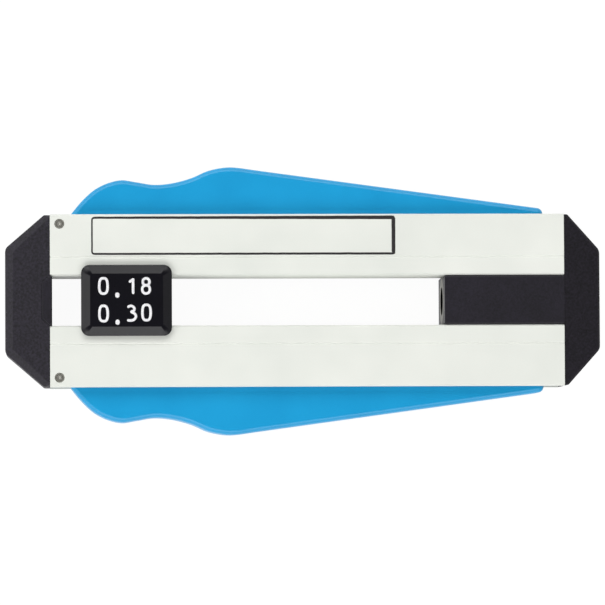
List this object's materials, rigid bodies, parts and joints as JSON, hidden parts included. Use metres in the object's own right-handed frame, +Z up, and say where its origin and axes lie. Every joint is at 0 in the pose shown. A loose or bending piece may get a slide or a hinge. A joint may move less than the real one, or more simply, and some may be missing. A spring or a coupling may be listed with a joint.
{
  "type": "fibre stripper",
  "caption": "Flat pocket stripper for optical fibre: two rails and end caps round a window, two side handles that close notched blades on the fibre, and a sliding length stop.",
  "frame": {"origin": "centre of the bounding box's bottom: under the middle of the tool, on the surface that its back lies on", "axes": "+X along the fibre axis from the entry nose to the rear cap; +Y across the tool towards the upper handle; +Z up out of the back, through the slider's plate"},
  "size_m": [0.1, 0.045, 0.0142],
  "materials": {
    "rail_white": "off-white moulded plastic, fine matt texture",
    "grip_blue": "light blue moulded plastic, satin",
    "cap_black": "black moulded plastic, fine spark-eroded grain",
    "slider_black": "black moulded plastic, smooth and satin",
    "pin_steel": "turned steel, dull grey",
    "spring_steel": "drawn spring wire and strip",
    "blade_steel": "ground hardened steel",
    "sleeve_grey": "dull anodised aluminium, turned",
    "bush_brass": "turned brass"
  },
  "bodies": {
    "frame": {"rail_upper": "rail_white", "rail_lower": "rail_white", "front_cap": "cap_black", "rear_cap": "cap_black", "guide_insert": "cap_black", "entry_bush": "bush_brass", "tail_block": "cap_black", "bore_sleeve": "sleeve_grey", "front_dowels": "pin_steel", "rear_dowels": "pin_steel", "rear_screws": "pin_steel", "pivot_pin_upper": "pin_steel", "pivot_pin_lower": "pin_steel", "return_spring_upper": "spring_steel", "return_spring_lower": "spring_steel"},
    "upper_grip": {"handle_upper": "grip_blue", "blade_upper": "blade_steel", "blade_clamp_upper": "pin_steel", "blade_screws_upper": "pin_steel"},
    "lower_grip": {"handle_lower": "grip_blue", "blade_lower": "blade_steel", "blade_clamp_lower": "pin_steel", "blade_screws_lower": "pin_steel"},
    "slider": {"slider_front": "slider_black", "slider_back": "slider_black", "slider_screws": "pin_steel", "friction_springs": "spring_steel"}
  },
  "joints": [
    {"name": "upper_squeeze", "type": "hinge", "parent": "frame", "child": "upper_grip", "pos_m": [0.037, 0.0093, 0.00625], "axis": [0, 0, 1], "range_deg": [0, 1.91], "stiffness_Nm_per_rad": 0.3, "springref_deg": -2.86, "deforming": ["return_spring_upper"]},
    {"name": "lower_squeeze", "type": "hinge", "parent": "frame", "child": "lower_grip", "pos_m": [0.037, -0.0093, 0.00625], "axis": [0, 0, -1], "range_deg": [0, 1.91], "stiffness_Nm_per_rad": 0.3, "springref_deg": -2.86, "deforming": ["return_spring_lower"]},
    {"name": "stop_slide", "type": "slide", "parent": "frame", "child": "slider", "axis": [1, 0, 0], "range_m": [-0.0045, 0.0464]}
  ]
}
